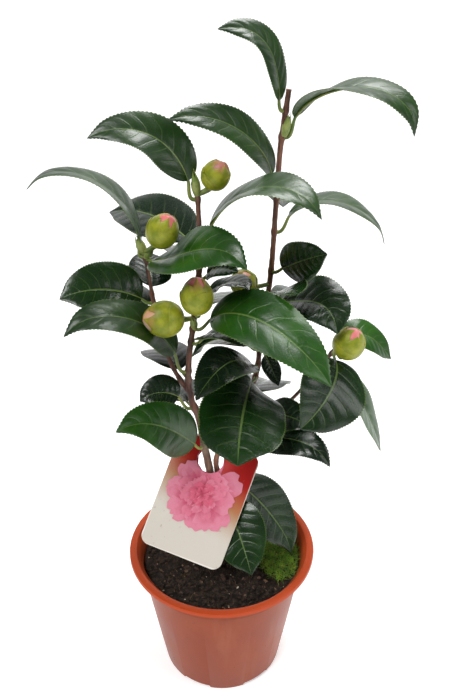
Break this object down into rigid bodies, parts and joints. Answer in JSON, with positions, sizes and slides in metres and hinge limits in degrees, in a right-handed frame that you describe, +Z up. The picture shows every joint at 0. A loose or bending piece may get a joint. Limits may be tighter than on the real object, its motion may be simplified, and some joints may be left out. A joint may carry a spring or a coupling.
{
  "type": "potted camellia shrub",
  "caption": "Young camellia shrub with glossy pointed leaves and fat flower buds on slim stems, in a round plastic nursery pot with a care tag on the trunk.",
  "frame": {"origin": "centre of the pot's flat underside", "axes": "+Z up along the plant's height, -Y towards the front where the care tag hangs, +X to the right seen from the front"},
  "size_m": [0.2445, 0.183, 0.5044],
  "materials": {
    "pot": "satin terracotta-coloured moulded plastic",
    "soil": "moist crumbly peat compost",
    "moss": "loose yellow-green moss",
    "label": "semi-gloss printed card",
    "bark": "thin brown bark",
    "leaf": "glossy dark evergreen leaf",
    "bud": "satin overlapping bud scales with a pink tip"
  },
  "bodies": {
    "root": {"pot": "pot", "soil": "soil", "moss": "moss", "trunk": "bark", "middle_stem": "bark", "right_stem": "bark", "left_stem": "bark", "right_branch": "bark", "leaf_top": "leaf", "leaf_top_right": "leaf", "leaf_high_left": "leaf", "leaf_right_arching": "leaf", "leaf_right_round": "leaf", "leaf_right_front": "leaf", "leaf_right_wide": "leaf", "leaf_stem_small": "leaf", "leaf_centre_back": "leaf", "leaf_centre_dark": "leaf", "leaf_centre_round": "leaf", "leaf_low_right": "leaf", "leaf_pot_right": "leaf", "leaf_pot_front": "leaf", "leaf_upper_left": "leaf", "leaf_left_behind": "leaf", "leaf_arching": "leaf", "leaf_bud_right": "leaf", "leaf_bud_low": "leaf", "leaf_big_front": "leaf", "leaf_centre_curled": "leaf", "leaf_low_left": "leaf", "leaf_behind_left": "leaf", "leaf_small_left": "leaf", "leaf_label_left": "leaf", "leaf_far_left": "leaf", "leaf_centre_front": "leaf", "leaf_left_back": "leaf", "leaf_left_wide": "leaf", "leaf_right_tip": "leaf", "leaf_right_hanging": "leaf", "leaf_right_edge": "leaf", "leaf_branch_small": "leaf", "leaf_back_1": "leaf", "leaf_back_2": "leaf", "leaf_back_3": "leaf", "leaf_back_4": "leaf", "leaf_back_5": "leaf", "leaf_back_6": "leaf", "leaf_back_7": "leaf", "leaf_back_8": "leaf", "leaf_back_9": "leaf", "bud_left_top": "bud", "bud_middle_top": "bud", "bud_middle": "bud", "bud_left_low": "bud", "bud_right": "bud", "bud_behind": "bud", "label": "label"}
  },
  "joints": []
}
